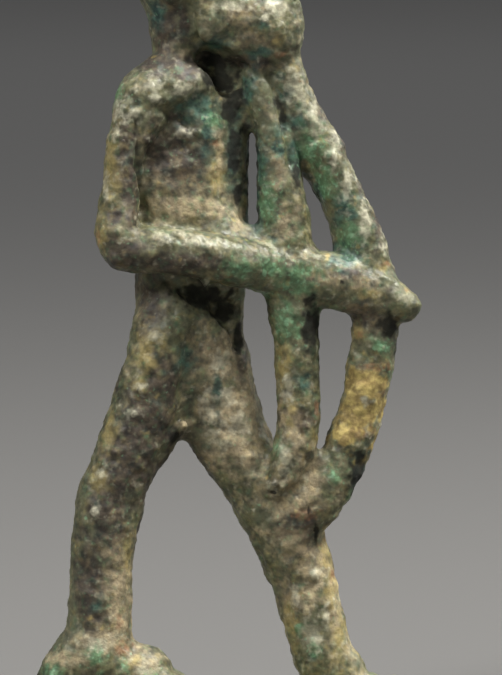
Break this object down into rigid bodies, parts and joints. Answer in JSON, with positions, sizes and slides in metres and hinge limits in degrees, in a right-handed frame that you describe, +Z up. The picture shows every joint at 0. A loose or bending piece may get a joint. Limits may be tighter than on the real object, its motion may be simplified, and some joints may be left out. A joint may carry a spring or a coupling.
{
  "type": "monkey archer figurine",
  "caption": "Small solid-cast bronze figurine of a striding monkey drawing a bow, worn and patinated, on a low base cast in one with its feet.",
  "frame": {"origin": "centre of the base's underside, on the surface the figurine stands on", "axes": "+Z up, +X the way the archer strides and shoots, -Y the side that the reference picture shows"},
  "size_m": [0.0412, 0.017, 0.0791],
  "materials": {
    "bronze": "corroded green-brown patina with earth in the hollows, worn to bare metal in places"
  },
  "bodies": {
    "root": {"monkey_archer": "bronze"}
  },
  "joints": []
}
